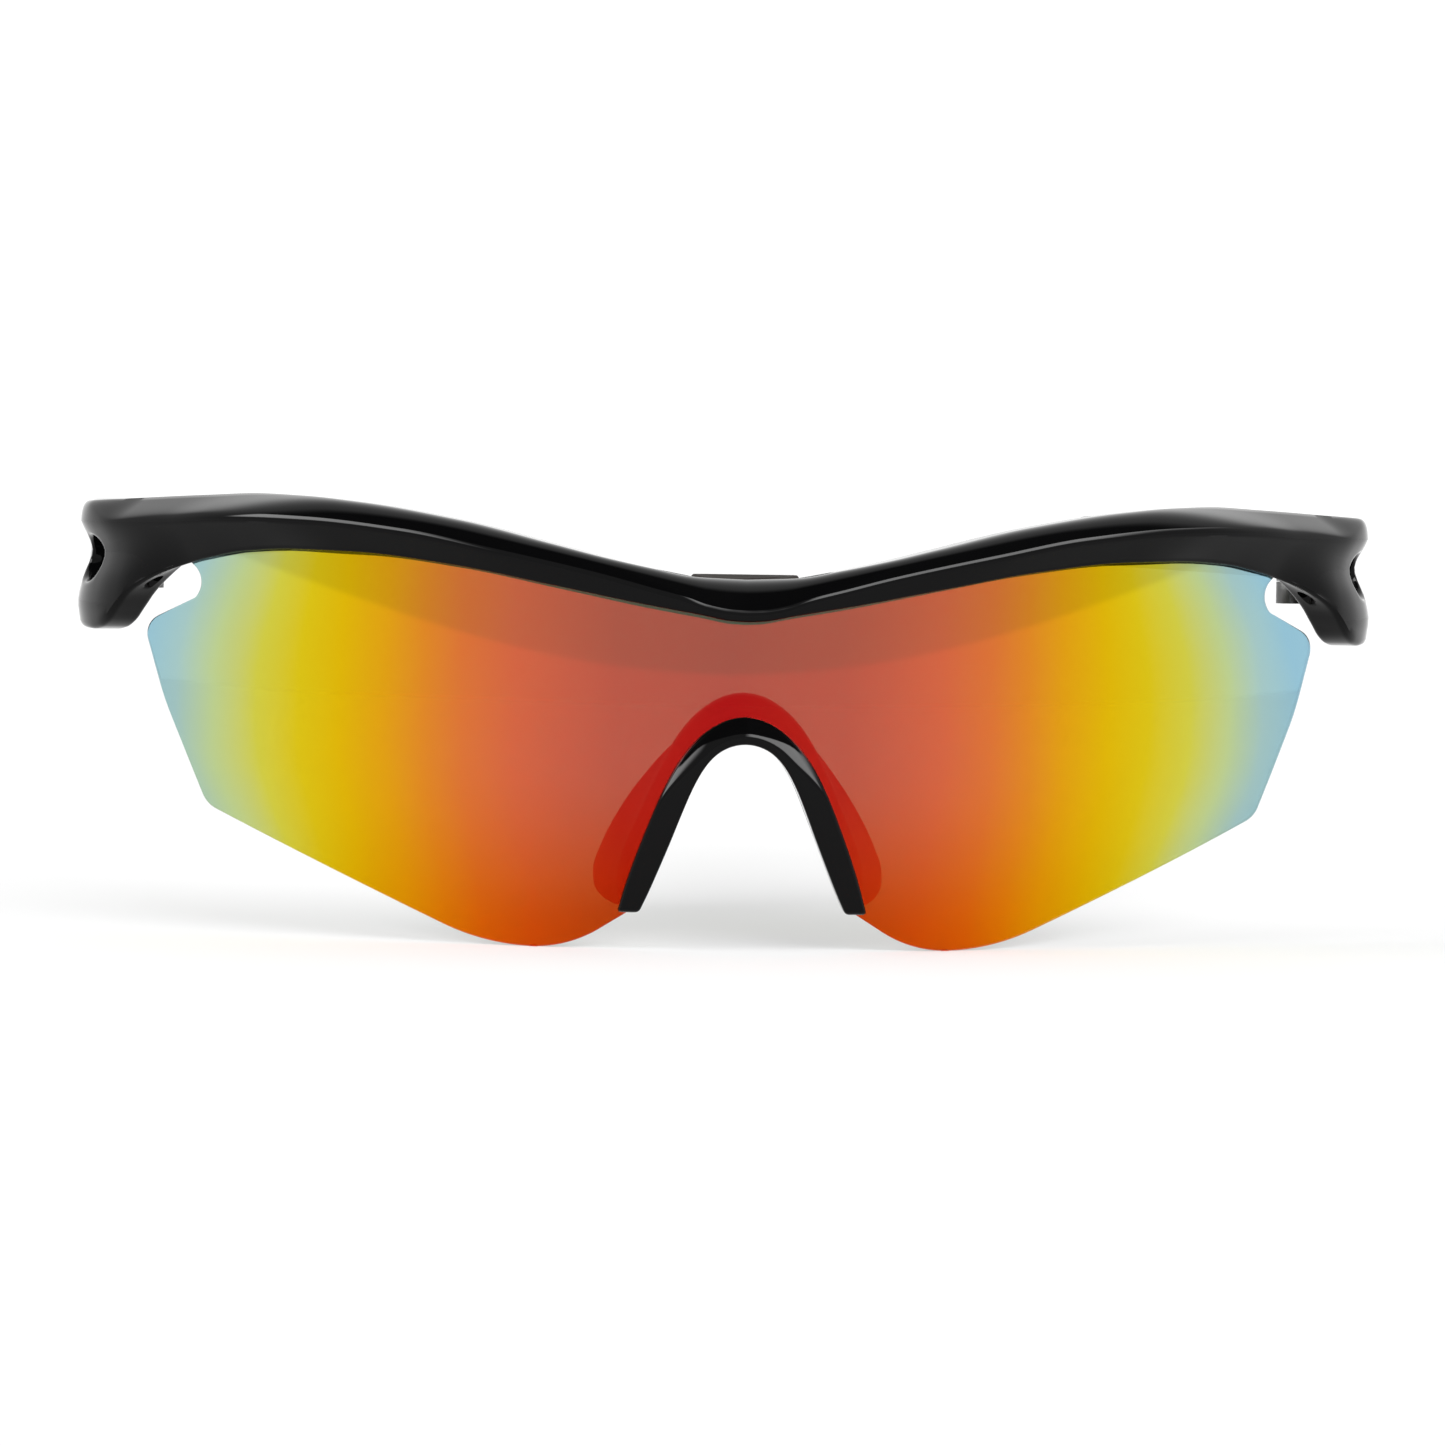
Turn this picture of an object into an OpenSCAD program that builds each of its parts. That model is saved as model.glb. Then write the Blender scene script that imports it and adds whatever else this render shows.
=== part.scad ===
// Wraparound sport sunglasses: a half-frame brow bar, a one-piece shield lens, a clip-in nose
// piece and two folding temples. Left and right are the wearer's: the wearer's left is +X.
// The wearer looks along -Y. The origin is on the table, under the middle of the bounding box.

/* [Lens] */
// Radius of the lens in plan, on its front face
lens_plan_r = 80; // [79.5:0.1:80.5]
// Radius of the lens in side view, on its front face
lens_rise_r = 120; // [110:1:130]
// Thickness of the lens
lens_t = 1.8; // [1.6:0.1:1.9]
// Height of the point of the lens that stands furthest forward
lens_mid_z = 24; // [22:0.5:26]

/* [Frame] */
// Distance from the lens face to the front of the brow bar
brow_front_t = 2.4; // [2.0:0.1:2.8]
// Distance from the lens face to the back of the brow bar
brow_back_t = 4.4; // [4.2:0.1:4.8]
// Thickness of the endpieces and of the temples at their hinge
wall_t = 4.4; // [4.0:0.1:4.6]
// Half the width of the front, over the endpieces
half_w = 72.6; // [72.0:0.1:73.0]
// Height of the top of the brow bar above the table
brow_top_z = 47.4; // [46.8:0.1:48.0]

/* [Hinge] */
// Distance from the lens face to the hinge axis, front to back
hinge_depth = 56; // [55:0.5:58]
// Radius of the hinge barrels
barrel_r = 1.6; // [1.5:0.05:1.6]
// Radius of the hinge screw
screw_r = 0.7; // [0.6:0.05:0.8]
// Height of the bottom of the hinge
hinge_z = 36.2; // [36.0:0.1:36.8]
// Height of the whole hinge barrel
hinge_h = 7.6; // [7.0:0.1:7.8]
// Thickness of the hinge leaves
leaf_t = 0.8; // [0.6:0.1:0.9]

/* [Temples] */
// Radius of the inward curve of the temples
temple_curve_r = 200; // [190:5:220]
// Height of the top edge of the temple arm where the tip begins
temple_top_z = 45.4; // [45.0:0.1:46.0]
// Height of the temple arm where the tip begins
temple_h = 6.8; // [6.4:0.1:7.2]
// How far the rubber tip stands proud of the arm, above and below
tip_proud = 0.3; // [0.2:0.1:0.6]
// Distance from the lens face to where the tip begins
tip_start = 104; // [100:1:108]
// Distance from the lens face to the end of the tip
tip_depth = 158; // [150:1:162]

/* [Nose piece] */
// Radius of the arch of the nose opening
arch_r = 4.9; // [4.6:0.1:5.2]
// Height of the centre of that arch
arch_z = 17.1; // [16.5:0.1:17.5]
// Lean of the legs of the nose opening, from upright
leg_lean = 22.7; // [20:0.1:24]
// Height of the feet of the nose rim
rim_foot_z = 4.1; // [3.6:0.1:4.6]
// Width of the nose rim, seen from the front
rim_w = 2.7; // [2.5:0.1:2.9]

/* [Hidden] */
$fn = 96;

// Where the lens face's foremost point lies, with the origin halfway from front to back
lens_front_y = -(tip_depth - brow_front_t) / 2;
// Slip between pieces that are assembled and stay put
slip = 0.05;
// Running clearance in the hinge
run = 0.04;
// Gap between the endpiece and the temple when the temple is open
butt_gap = 0.15;

// Plan of the endpiece: the brow bar's arc ends at this angle and a tighter one takes over
wrap_angle = 56;
wall_out_r = lens_plan_r + 2.6;
wrap_r = (half_w - wall_out_r * sin(wrap_angle)) / (1 - sin(wrap_angle));
wrap_c = [(wall_out_r - wrap_r) * sin(wrap_angle),
          lens_plan_r - (wall_out_r - wrap_r) * cos(wrap_angle)];
wall_in_x = half_w - wall_t;

// Hinge: the axis stands inboard of the wall, clear of it by the barrel and the leaf
hinge_x = wall_in_x - 3.4;
knuckle_h = (hinge_h - 0.2) / 3;
leaf_len = 7.2;
leaf_margin = 1.0;
rivet_r = 0.6;
rivet_head_r = 1.0;
rivet_head_t = 0.3;
rivet_depth = 2.6;

// Heights of the faces where the endpiece and the temple meet
butt_top = brow_top_z - 1.4;
butt_bottom = 33.3;

// The spine inside the rubber tip
spine_h = 4.0;
spine_t = 1.6;
spine_end = tip_depth - 10;
temple_bottom_z = temple_top_z - temple_h;

// ---------- outlines ----------

function unit(v) = v / norm(v);

// The arc that rounds corner p between neighbours a and b
function corner_arc(a, p, b, r, steps) =
    let (u = unit(a - p),
         v = unit(b - p),
         half = acos(max(-1, min(1, u * v))) / 2,
         c = p + unit(u + v) * r / sin(half),
         s = p + u * r / tan(half) - c,
         e = p + v * r / tan(half) - c,
         a0 = atan2(s[1], s[0]),
         raw = atan2(e[1], e[0]) - a0,
         turn = raw > 180 ? raw - 360 : raw < -180 ? raw + 360 : raw)
    [for (k = [0:steps]) c + r * [cos(a0 + turn * k / steps), sin(a0 + turn * k / steps)]];

// A closed outline from corners [x, y, radius]
function rounded(corners, steps = 7) =
    let (n = len(corners), xy = [for (c = corners) [c[0], c[1]]])
    [for (i = [0:n - 1])
        each (corners[i][2] == 0
            ? [xy[i]]
            : corner_arc(xy[(i + n - 1) % n], xy[i], xy[(i + 1) % n], corners[i][2], steps))];

// Half an outline, from the middle line down to the middle line, closed with its mirror image
function both_sides(half) =
    concat(half, [for (i = [len(half) - 1:-1:0])
        if (half[i][0] > 0) [-half[i][0], half[i][1], half[i][2]]]);

// Top of the brow bar, from the middle outwards, moved down by drop
function brow_top(drop) = [
    [0, brow_top_z - 9.1 - drop, 40],
    [38, brow_top_z - 0.8 - drop, 60],
    [54, brow_top_z + 0.1 - drop, 40],
    [66, brow_top_z - 0.9 - drop, 0]
];

// Bottom of the brow bar, from outside to the middle
brow_bottom = [
    [66, 34.6, 0],
    [61.5, 38.6, 4],
    [54, 41.6, 12],
    [38.5, 41.4, 40],
    [0, 34.55, 3]
];

// The lens: hidden top edge, side notch, tip, lower corner, lobe and nose opening
function lens_outline() =
    let (leg = tan(leg_lean),
         edge_r = arch_r + 1.1,
         foot = 3.2)
    both_sides([
        [0, 36.9, 3],
        [38, 43.7, 40],
        [54, 44.2, 10],
        [61.3, 41.6, 1],
        [57.3, 38.0, 2.4],
        [58.6, 35.9, 1.2],
        [64.5, 32.9, 2.2],
        [62, 24.8, 30],
        [57.1, 13.6, 3],
        [26.8, 0, 24],
        [18.2, 0, 13],
        [edge_r / cos(leg_lean) + (arch_z - foot) * leg, foot, 0.4],
        [0, arch_z + edge_r / sin(leg_lean), edge_r]
    ]);

// An arch open at the bottom: radius r about the arch centre, legs leaning out, feet at foot_z
function arch_half(r, foot_z) = [
    [0, arch_z + r / sin(leg_lean), r],
    [r / cos(leg_lean) + (arch_z - foot_z) * tan(leg_lean), foot_z, 0]
];

// The nose rim, seen from the front; foot is the radius of its feet's corners
function rim_outline(foot = 0.6) =
    let (inner = arch_half(arch_r, rim_foot_z),
         outer = arch_half(arch_r + rim_w, rim_foot_z))
    both_sides([
        outer[0],
        [outer[1][0], outer[1][1], foot],
        [inner[1][0], inner[1][1], foot],
        inner[0]
    ]);

// The saddle behind the lens: it stands above the rim and spreads out down the legs
function saddle_outline() =
    both_sides([
        [0, 32.8, 6],
        [7.6, 21.9, 8],
        [14.4, 10.4, 5],
        [14.6, 6.0, 2],
        [12.2, 4.9, 0.6],
        [arch_r / cos(leg_lean) + (arch_z - 5.6) * tan(leg_lean), 5.6, 0.4],
        [0, arch_z + arch_r / sin(leg_lean), arch_r]
    ]);

// ---------- extrusions and shells ----------

// Extrudes an outline given as x and height, from front to back
module along_y(points, y0, y1) {
    translate([0, y1, 0])
        rotate([90, 0, 0])
            linear_extrude(y1 - y0)
                polygon(points);
}

// Extrudes an outline given as front-to-back distance and height, outwards along +X
module along_x(points, x0, x1) {
    translate([x0, 0, 0])
        rotate([90, 0, 90])
            linear_extrude(x1 - x0)
                polygon(points);
}

// A shell that follows the lens; front and back are depths behind the lens face
module lens_shell(front, back) {
    translate([0, lens_plan_r, 0])
        rotate_extrude()
            intersection() {
                difference() {
                    translate([lens_plan_r - lens_rise_r, lens_mid_z])
                        circle(r = lens_rise_r - front);
                    translate([lens_plan_r - lens_rise_r, lens_mid_z])
                        circle(r = lens_rise_r - back);
                }
                translate([lens_plan_r / 2, -10])
                    square([lens_plan_r, 70]);
            }
}

// An upright band about the same axis, from radius r0 to r1
module upright_band(r0, r1) {
    translate([0, lens_plan_r, -5])
        difference() {
            cylinder(r = r1, h = 60);
            translate([0, 0, -1])
                cylinder(r = r0, h = 62);
        }
}

// Shows a left-hand piece on the given side
module on_side(side) {
    if (side == "left") {
        children();
    } else {
        mirror([1, 0, 0])
            children();
    }
}

// Moves everything from the lens-face frame to the part's own frame
module placed() {
    translate([0, lens_front_y, 0])
        children();
}

// ---------- front ----------

// Plan of one endpiece: the wall from the brow bar round to the hinge
module endpiece_plan() {
    in_r = wrap_r - wall_t;
    intersection() {
        difference() {
            translate([0, lens_plan_r])
                circle(r = wall_out_r);
            translate([0, lens_plan_r])
                circle(r = wall_out_r - wall_t);
        }
        polygon([[0, lens_plan_r], wrap_c + (wrap_r + 9) * [sin(wrap_angle), -cos(wrap_angle)],
                 [56, 14], [56, 18]]);
    }
    intersection() {
        difference() {
            translate(wrap_c)
                circle(r = wrap_r);
            translate(wrap_c)
                circle(r = in_r);
        }
        polygon([wrap_c, wrap_c + 40 * [sin(wrap_angle), -cos(wrap_angle)],
                 wrap_c + [40, -10], wrap_c + [40, 0]]);
    }
    translate([wall_in_x, wrap_c[1] - 0.01])
        square([wall_t, hinge_depth - wrap_c[1] + 0.01]);
}

// Side view of the endpiece: its lower edge drops to a lobe below the window
endpiece_side = [
    [18, 40.6, 0],
    [18, brow_top_z - 0.2, 0],
    [50, brow_top_z - 0.9, 30],
    [hinge_depth, butt_top, 0],
    [hinge_depth, butt_bottom, 0],
    [50.5, 32.0, 6],
    [37.0, 32.0, 2.5],
    [29.5, 36.6, 5]
];

module endpiece() {
    intersection() {
        linear_extrude(60)
            endpiece_plan();
        along_x(rounded(endpiece_side), 58.5, 80);
    }
}

// The oval window through the side of the endpiece
module window() {
    translate([60, 42.8, 39.7])
        rotate([0, 90, 0])
            linear_extrude(20)
                polygon(rounded([[-3, -4.6, 2.6], [3, -3.6, 2.6], [3, 3.6, 2.6], [-3, 4.6, 2.6]]));
}

// The blind pocket in the lower edge of the endpiece, behind the lens tip
module edge_pocket() {
    translate([64.3, 33.2, 32.6])
        rotate([-32, 0, 0])
            cylinder(r = 1.1, h = 4.2);
}

module rivet_holes(y0) {
    for (y = rivet_places(y0))
        translate([wall_in_x - leaf_t - 1, y, hinge_z + hinge_h / 2])
            rotate([0, 90, 0])
                cylinder(r = rivet_r + slip, h = leaf_t + 1 + rivet_depth);
}

// Where the two rivets of a leaf stand, front to back
function rivet_places(y0) = [y0 + 1.7, y0 + leaf_len - 1.7];
front_leaf_y = hinge_depth - 1.4 - leaf_len;
temple_leaf_y = hinge_depth + 1.8;

module brow_frame() {
    color([0.06, 0.06, 0.065])
        difference() {
            union() {
                // The bar behind its ridge, up to the full height
                intersection() {
                    upright_band(lens_plan_r - brow_back_t, lens_plan_r + brow_front_t - 1.4);
                    along_y(rounded(both_sides(concat(brow_top(0), brow_bottom))), -5, 40);
                }
                // The front face below the ridge
                intersection() {
                    upright_band(lens_plan_r - brow_back_t + 1, lens_plan_r + brow_front_t);
                    along_y(rounded(both_sides(concat(brow_top(2.5), brow_bottom))), -5, 40);
                }
                for (side = ["left", "right"])
                    on_side(side)
                        endpiece();
            }
            // Groove for the lens
            intersection() {
                lens_shell(-slip, lens_t + slip);
                along_y(rounded(both_sides([
                    [0, 37.0, 3],
                    [38, 43.8, 40],
                    [54, 44.3, 10],
                    [61.6, 41.6, 1],
                    [61.6, 30, 0]
                ])), -5, 40);
            }
            for (side = ["left", "right"])
                on_side(side) {
                    window();
                    edge_pocket();
                    rivet_holes(front_leaf_y);
                }
            brow_pad_pegs(slip);
        }
}

module shield_lens() {
    color([0.88, 0.42, 0.12, 0.8])
        intersection() {
            lens_shell(0, lens_t);
            along_y(rounded(lens_outline()), -5, 40);
        }
}

// Two pegs that hold the brow pad to the back of the bar
module brow_pad_pegs(extra = 0) {
    for (x = [-3.6, 3.6])
        translate([x, brow_back_t - 0.9, 37.9])
            rotate([-90, 0, 0])
                cylinder(r = 0.5 + extra, h = 2);
}

module brow_pad() {
    color([0.12, 0.11, 0.1]) {
        intersection() {
            upright_band(lens_plan_r - brow_back_t - 1.8, lens_plan_r - brow_back_t - slip);
            along_y(rounded([
                [-5.6, 36.4, 0.5],
                [-5.6, 39.8, 0.4],
                [0, 39.1, 30],
                [5.6, 39.8, 0.4],
                [5.6, 36.4, 0.5],
                [0, 35.5, 20]
            ]), 0, 12);
        }
        brow_pad_pegs();
    }
}

// ---------- nose piece ----------

module nose_rim() {
    grip_r = arch_r + 1.0;
    color([0.05, 0.05, 0.055])
        difference() {
            intersection() {
                lens_shell(-1.9, lens_t + 1.2);
                along_y(rounded(rim_outline()), -5, 20);
            }
            // Groove for the edge of the lens
            difference() {
                lens_shell(-slip, lens_t + slip);
                along_y(rounded(both_sides(arch_half(grip_r, 0))), -6, 21);
            }
        }
}

module nose_saddle() {
    color([0.1, 0.1, 0.1])
        intersection() {
            lens_shell(lens_t + 1.2 + slip, lens_t + 2.6);
            along_y(rounded(saddle_outline()), -5, 20);
        }
}

// A soft pad moulded onto the saddle: a rounded plate that spreads outwards towards the back
module nose_pad(side) {
    color([0.1, 0.1, 0.1])
        on_side(side)
            translate([12.6, 8.6, 10.4])
                rotate([0, -16, 0])
                    rotate([0, 0, -22])
                        along_x(rounded([
                            [-3.0, -5.0, 1.6],
                            [4.4, -5.4, 3.6],
                            [4.4, 6.6, 3.6],
                            [-3.0, 5.6, 1.6]
                        ]), -1, 1);
}

// ---------- hinge ----------

// A barrel segment about the hinge axis
module barrel(z0, h) {
    translate([hinge_x, hinge_depth, z0])
        cylinder(r = barrel_r, h = h);
}

// The height at which knuckle k starts: 0 and 2 belong to the front, 1 to the temple
function knuckle_z(k) = hinge_z + k * (knuckle_h + 0.1);

// The bore for the screw through a whole leaf
module screw_bore(r) {
    translate([hinge_x, hinge_depth, hinge_z - 1])
        cylinder(r = r, h = hinge_h + 2);
}

// One leaf: a plate on the inner face of the wall, with knuckles and rivet holes
module leaf(y0, knuckles, link_y) {
    difference() {
        union() {
            translate([wall_in_x - leaf_t, y0, hinge_z])
                cube([leaf_t - slip, leaf_len, hinge_h]);
            for (k = knuckles) {
                barrel(knuckle_z(k), knuckle_h);
                translate([hinge_x, min(link_y, hinge_depth), knuckle_z(k)])
                    cube([wall_in_x - slip - hinge_x, abs(link_y - hinge_depth), knuckle_h]);
            }
        }
        rivet_holes(y0);
        for (y = rivet_places(y0))
            translate([wall_in_x - leaf_t - 0.01, y, hinge_z + hinge_h / 2])
                rotate([0, 90, 0])
                    cylinder(r = rivet_head_r + slip, h = rivet_head_t + 0.01);
    }
}

module hinge_front_leaf(side) {
    color([0.62, 0.63, 0.65])
        on_side(side)
            difference() {
                leaf(front_leaf_y, [0, 2], front_leaf_y + leaf_len);
                screw_bore(screw_r + 0.02);
                // The screw head's seat
                translate([hinge_x, hinge_depth, hinge_z + hinge_h - 0.7])
                    cylinder(r = 1.2, h = 2);
            }
}

module hinge_temple_leaf(side) {
    color([0.62, 0.63, 0.65])
        on_side(side)
            difference() {
                leaf(temple_leaf_y, [1], temple_leaf_y);
                screw_bore(screw_r + run);
            }
}

module hinge_screw(side) {
    color([0.75, 0.75, 0.77])
        on_side(side)
            translate([hinge_x, hinge_depth, 0])
                difference() {
                    union() {
                        translate([0, 0, hinge_z + 0.1])
                            cylinder(r = screw_r, h = hinge_h - 0.6);
                        translate([0, 0, hinge_z + hinge_h - 0.68])
                            cylinder(r = 1.15, h = 0.6);
                    }
                    // Driver slot
                    translate([-2, -0.15, hinge_z + hinge_h - 0.38])
                        cube([4, 0.3, 1]);
                }
}

// The two rivets that fasten a leaf to its wall
module rivets(side, y0) {
    color([0.7, 0.7, 0.72])
        on_side(side)
            for (y = rivet_places(y0))
                translate([wall_in_x - leaf_t, y, hinge_z + hinge_h / 2])
                    rotate([0, 90, 0]) {
                        cylinder(r = rivet_r, h = leaf_t + rivet_depth - 0.1);
                        cylinder(r = rivet_head_r, h = rivet_head_t - 0.02);
                    }
}

// ---------- temples ----------

// Plan of the temple: a straight root, then an inward curve that thins towards the tip
module temple_plan(outer_x, inner_x, start_y) {
    straight_to = 70;
    inner_r = temple_curve_r * 1.06;
    translate([inner_x, start_y])
        square([outer_x - inner_x, straight_to - start_y + 0.01]);
    intersection() {
        difference() {
            translate([outer_x - temple_curve_r, straight_to])
                circle(r = temple_curve_r);
            translate([inner_x - inner_r, straight_to])
                circle(r = inner_r);
        }
        translate([20, straight_to])
            square([60, 100]);
    }
}

// Side view of the arm: as deep as the endpiece at the hinge, slender from there on
arm_side = [
    [hinge_depth + butt_gap, butt_top, 0],
    [76, temple_top_z + 0.8, 80],
    [tip_start, temple_top_z, 0],
    [tip_start, temple_bottom_z, 0],
    [80, temple_bottom_z - 0.3, 30],
    [65, butt_bottom + 0.2, 20],
    [hinge_depth + butt_gap, butt_bottom, 0]
];

// Side view of the rubber tip
tip_side = [
    [tip_start + 0.1, temple_top_z + tip_proud, 0.8],
    [134, temple_top_z + tip_proud, 80],
    [tip_depth, temple_top_z - 1.0, 3.0],
    [tip_depth, temple_bottom_z + 0.3, 2.4],
    [134, temple_bottom_z - tip_proud, 80],
    [tip_start + 0.1, temple_bottom_z - tip_proud, 0.8]
];

// The spine that the rubber tip slides onto, or with extra room its socket
module spine(extra, start_y) {
    outer_x = half_w - wall_t / 2 + 0.3 + spine_t / 2;
    low_z = temple_bottom_z + (temple_h - spine_h) / 2;
    intersection() {
        linear_extrude(60)
            temple_plan(outer_x + extra, outer_x - spine_t - extra, hinge_depth + 5);
        translate([20, start_y, low_z - extra])
            cube([60, spine_end - start_y + extra, spine_h + 2 * extra]);
    }
}

module temple_arm(side) {
    color([0.06, 0.06, 0.065])
        on_side(side)
            difference() {
                union() {
                    intersection() {
                        linear_extrude(60)
                            temple_plan(half_w, wall_in_x, hinge_depth + butt_gap);
                        along_x(rounded(arm_side), 30, 80);
                    }
                    spine(0, tip_start - 2);
                }
                rivet_holes(temple_leaf_y);
            }
}

module temple_tip(side) {
    proud_x = 0.5;
    color([0.09, 0.09, 0.09])
        on_side(side)
            difference() {
                intersection() {
                    linear_extrude(60)
                        temple_plan(half_w + proud_x, wall_in_x - proud_x, hinge_depth + 5);
                    along_x(rounded(tip_side), 30, 80);
                }
                spine(slip, tip_start - 3);
            }
}

placed() brow_frame();
placed() shield_lens();
placed() brow_pad();
placed() nose_rim();
placed() nose_saddle();
placed() nose_pad("left");  // nose_pad_left
placed() nose_pad("right");  // nose_pad_right
placed() hinge_front_leaf("left");  // hinge_front_leaf_left
placed() hinge_front_leaf("right");  // hinge_front_leaf_right
placed() rivets("left", front_leaf_y);  // hinge_front_rivets_left
placed() rivets("right", front_leaf_y);  // hinge_front_rivets_right
placed() hinge_screw("left");  // hinge_screw_left
placed() hinge_screw("right");  // hinge_screw_right
placed() temple_arm("left");  // temple_arm_left
placed() temple_arm("right");  // temple_arm_right
placed() hinge_temple_leaf("left");  // hinge_temple_leaf_left
placed() hinge_temple_leaf("right");  // hinge_temple_leaf_right
placed() rivets("left", temple_leaf_y);  // hinge_temple_rivets_left
placed() rivets("right", temple_leaf_y);  // hinge_temple_rivets_right
placed() temple_tip("left");  // temple_tip_left
placed() temple_tip("right");  // temple_tip_right
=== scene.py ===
"""Wraparound sport sunglasses: the looks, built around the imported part.

Shapes are worked out in millimetres in the lens-face frame: x to the wearer's left, y back from
the lens's foremost point, z up from the table. rows() turns them into metres in the part's frame.
"""
import math

import bmesh
import bpy
import numpy as np
from mathutils import Matrix, Vector
from mathutils.geometry import delaunay_2d_cdt


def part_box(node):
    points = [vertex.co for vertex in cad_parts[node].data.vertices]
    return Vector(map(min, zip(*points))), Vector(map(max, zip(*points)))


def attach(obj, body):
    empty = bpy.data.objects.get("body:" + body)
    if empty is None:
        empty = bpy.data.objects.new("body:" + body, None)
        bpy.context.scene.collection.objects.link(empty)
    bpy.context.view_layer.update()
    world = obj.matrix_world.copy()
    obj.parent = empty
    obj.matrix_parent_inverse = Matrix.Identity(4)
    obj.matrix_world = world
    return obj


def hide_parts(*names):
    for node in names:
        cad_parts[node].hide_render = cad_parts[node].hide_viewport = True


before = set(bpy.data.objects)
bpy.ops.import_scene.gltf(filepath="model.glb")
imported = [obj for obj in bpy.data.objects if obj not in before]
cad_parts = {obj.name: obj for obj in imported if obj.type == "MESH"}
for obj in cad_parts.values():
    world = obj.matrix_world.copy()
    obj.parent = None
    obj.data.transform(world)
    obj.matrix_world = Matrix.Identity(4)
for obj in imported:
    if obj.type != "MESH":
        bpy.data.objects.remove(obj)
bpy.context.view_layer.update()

MM = 0.001
SIDES = {"left": 1, "right": -1}

# Sizes of the part that the looks follow, in millimetres
LENS_R = 80.0
RISE_R = 120.0
MID_Z = 24.0
LENS_T = 1.8
BROW_FRONT = 2.4
HALF_W = 72.6
WRAP_ANGLE = math.radians(56)
HINGE_Y = 56.0
WALL_T = 4.4
CURVE_START = 70.0
CURVE_R = 200.0
TIP_START = 104.0
TIP_END = 158.0
FRONT_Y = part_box("brow_frame")[0][1] / MM + BROW_FRONT


# ---------- small tools ----------

def rows(points):
    """Points in the lens-face frame, in millimetres, as metres in the part's frame."""
    p = np.array(points, dtype=float)
    p[:, 1] += FRONT_Y
    return p * MM


def curve_at(x, knots):
    """A smooth curve through (x, y) knots, flat beyond its ends."""
    kx = np.array([k[0] for k in knots], dtype=float)
    ky = np.array([k[1] for k in knots], dtype=float)
    step = np.diff(kx)
    rise = np.diff(ky) / step
    slope = np.zeros(len(kx))
    for i in range(1, len(kx) - 1):
        if rise[i - 1] * rise[i] > 0:
            w1 = 2 * step[i] + step[i - 1]
            w2 = step[i] + 2 * step[i - 1]
            slope[i] = (w1 + w2) / (w1 / rise[i - 1] + w2 / rise[i])
    slope[0], slope[-1] = rise[0], rise[-1]
    x = np.clip(np.asarray(x, dtype=float), kx[0], kx[-1])
    i = np.clip(np.searchsorted(kx, x, side="right") - 1, 0, len(kx) - 2)
    t = (x - kx[i]) / step[i]
    return (
        ky[i] * (1 + 2 * t) * (1 - t) ** 2
        + slope[i] * step[i] * t * (1 - t) ** 2
        + ky[i + 1] * t * t * (3 - 2 * t)
        + slope[i + 1] * step[i] * t * t * (t - 1)
    )


def blend01(x, a, b):
    """0 below a, 1 above b, smooth between."""
    t = np.clip((x - a) / (b - a), 0, 1)
    return t * t * (3 - 2 * t)


def share_of(x, a, b):
    """blend01 as a plain number."""
    return float(blend01(x, a, b))


def arc(middle, radius, start, turn, shares):
    """Points clockwise round an arc, at shares of its turn. Angles are in degrees from straight up."""
    angles = [math.radians(start + turn * share) for share in shares]
    return [(middle[0] + radius * math.sin(a), middle[1] + radius * math.cos(a)) for a in angles]


def steps(count, first=1):
    """Even shares of the way, from first / count."""
    return [k / count for k in range(first, first + count)]


def signed_power(value, power):
    """The value's size raised to a power, with its sign kept: it squares up a sine."""
    return math.copysign(abs(value) ** power, value)


def add_piece(mesh, name, body, node):
    """Puts a mesh in the scene on one body, where it stands for a CAD node."""
    obj = bpy.data.objects.new(name, mesh)
    bpy.context.scene.collection.objects.link(obj)
    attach(obj, body)
    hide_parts(node)


def build_mesh(name, points, faces, materials):
    """A smooth-shaded mesh from points in the lens-face frame."""
    mesh = bpy.data.meshes.new(name)
    mesh.from_pydata([tuple(p) for p in rows(points)], [], [tuple(int(i) for i in f) for f in faces])
    mesh.validate()
    for m in materials:
        mesh.materials.append(m)
    mesh.shade_smooth()
    return mesh


def solid(name, points, faces, slot, body, node, sharp):
    """A closed piece in one material, with faces turned outwards and edges over sharp degrees kept crisp."""
    mesh = build_mesh(name, points, faces, [FINISH[slot]])
    mesh.set_sharp_from_angle(angle=math.radians(sharp))
    bm = bmesh.new()
    bm.from_mesh(mesh)
    bmesh.ops.recalc_face_normals(bm, faces=bm.faces)
    bm.to_mesh(mesh)
    bm.free()
    add_piece(mesh, name, body, node)


def round_corners(corners, count=12):
    """A closed outline from corners (x, z, radius)."""
    out = []
    n = len(corners)
    for i, (x, z, r) in enumerate(corners):
        p = Vector((x, z))
        u = (Vector(corners[i - 1][:2]) - p).normalized()
        v = (Vector(corners[(i + 1) % n][:2]) - p).normalized()
        half = u.angle(v) / 2
        c = p + (u + v).normalized() * r / math.sin(half)
        s = p + u * r / math.tan(half) - c
        e = p + v * r / math.tan(half) - c
        turn = s.angle_signed(e)
        for k in range(count + 1):
            out.append(c + Matrix.Rotation(-turn * k / count, 2) @ s)
    return out


def both_sides(half):
    """Half an outline, from middle line to middle line, closed with its mirror image."""
    return half + [(-x, z, r) for x, z, r in reversed(half) if x > 0]


def evenly(points, gap):
    """The same closed line with no stretch longer than gap."""
    out = []
    for a, b in zip(points, points[1:] + points[:1]):
        k = max(1, math.ceil((b - a).length / gap))
        out += [a.lerp(b, j / k) for j in range(k)]
    return out


# ---------- surfaces of the front ----------

def lens_y(x, z, depth=0.0):
    """Front-to-back place of the surface that lies depth behind the lens face."""
    r = LENS_R - RISE_R + np.sqrt((RISE_R - depth) ** 2 - (z - MID_Z) ** 2)
    return LENS_R - np.sqrt(r * r - x * x)


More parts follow.
